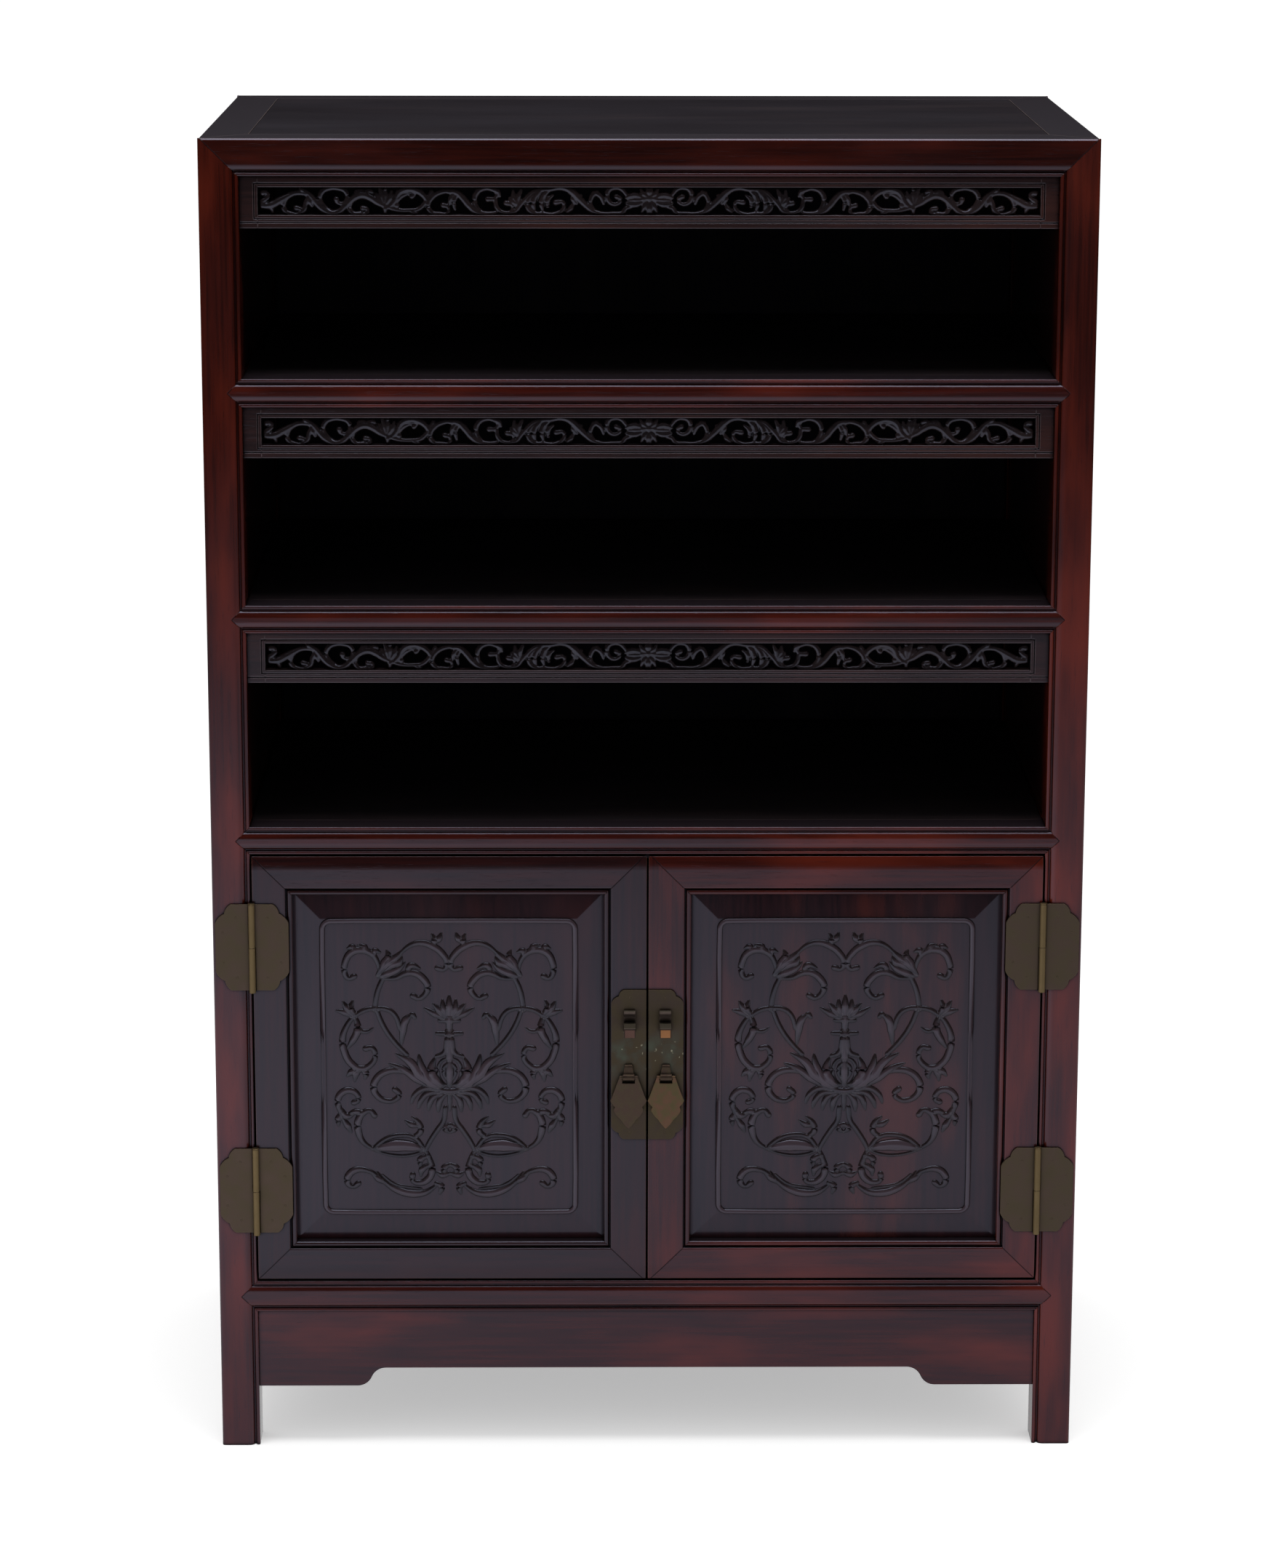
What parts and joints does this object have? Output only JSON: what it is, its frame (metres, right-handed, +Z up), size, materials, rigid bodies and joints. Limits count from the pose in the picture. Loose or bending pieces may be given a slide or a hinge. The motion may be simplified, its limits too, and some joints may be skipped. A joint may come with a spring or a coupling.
{
  "type": "book cabinet",
  "caption": "Hardwood book cabinet of frame-and-panel build: open tiers with pierced scroll friezes above a cupboard with carved doors, brass hinges, a split lock plate and pendant pulls.",
  "frame": {"origin": "on the floor under the middle of the whole piece, door furniture included", "axes": "+X to the right as one faces the doors, +Y to the back, +Z up"},
  "size_m": [0.9, 0.568, 1.38],
  "materials": {
    "frame_wood": "polished and waxed dark tropical hardwood",
    "panel_wood": "polished and waxed dark tropical hardwood, wide boards",
    "carved_wood": "carved and waxed dark tropical hardwood",
    "inner_wood": "planed and stained dark hardwood",
    "aged_brass": "patinated brass",
    "nail_brass": "patinated brass"
  },
  "bodies": {
    "carcass": {"back_apron": "frame_wood", "back_left_post": "frame_wood", "back_right_post": "frame_wood", "bottom_back_rail": "frame_wood", "bottom_front_rail": "frame_wood", "bottom_side_rails": "frame_wood", "cupboard_back_panel": "inner_wood", "cupboard_floor": "panel_wood", "cupboard_side_panels": "panel_wood", "door_stop": "frame_wood", "front_apron": "frame_wood", "front_left_post": "frame_wood", "front_right_post": "frame_wood", "hinge_carcass_leaves": "aged_brass", "hinge_nails": "nail_brass", "hinge_pins": "aged_brass", "lower_frieze_carving": "carved_wood", "lower_frieze_frame": "frame_wood", "lower_front_rail": "frame_wood", "lower_shelf": "panel_wood", "middle_frieze_carving": "carved_wood", "middle_frieze_frame": "frame_wood", "middle_front_rail": "frame_wood", "middle_shelf": "panel_wood", "panel_battens": "inner_wood", "shelf_back_rails": "frame_wood", "shelf_side_rails": "frame_wood", "side_aprons": "frame_wood", "tier_back_panels": "inner_wood", "tier_side_panels": "panel_wood", "top_back_rail": "frame_wood", "top_front_rail": "frame_wood", "top_panel": "panel_wood", "top_side_rails": "frame_wood", "upper_frieze_carving": "carved_wood", "upper_frieze_frame": "frame_wood", "upper_front_rail": "frame_wood", "upper_shelf": "panel_wood"},
    "left_door": {"left_door_bottom_rail": "frame_wood", "left_door_hinge_stile": "frame_wood", "left_door_meeting_stile": "frame_wood", "left_door_nails": "nail_brass", "left_door_panel": "carved_wood", "left_door_top_rail": "frame_wood", "left_hinge_leaves": "aged_brass", "left_lock_lug": "aged_brass", "left_lock_plate": "aged_brass", "left_pull_staple": "aged_brass"},
    "right_door": {"right_door_bottom_rail": "frame_wood", "right_door_hinge_stile": "frame_wood", "right_door_meeting_stile": "frame_wood", "right_door_nails": "nail_brass", "right_door_panel": "carved_wood", "right_door_top_rail": "frame_wood", "right_hinge_leaves": "aged_brass", "right_lock_lug": "aged_brass", "right_lock_plate": "aged_brass", "right_pull_staple": "aged_brass"},
    "left_pull": {"left_pull": "aged_brass"},
    "right_pull": {"right_pull": "aged_brass"}
  },
  "joints": [
    {"name": "left_door_hinge", "type": "hinge", "parent": "carcass", "child": "left_door", "pos_m": [-0.40925, -0.2599, 0.416], "axis": [0, 0, -1], "range_deg": [0, 165]},
    {"name": "right_door_hinge", "type": "hinge", "parent": "carcass", "child": "right_door", "pos_m": [0.40925, -0.2599, 0.416], "axis": [0, 0, 1], "range_deg": [0, 165]},
    {"name": "left_pull_swing", "type": "hinge", "parent": "left_door", "child": "left_pull", "pos_m": [-0.0195, -0.2626, 0.409], "axis": [-1, 0, 0], "range_deg": [-3, 145]},
    {"name": "right_pull_swing", "type": "hinge", "parent": "right_door", "child": "right_pull", "pos_m": [0.0195, -0.2626, 0.409], "axis": [-1, 0, 0], "range_deg": [-3, 145]}
  ]
}
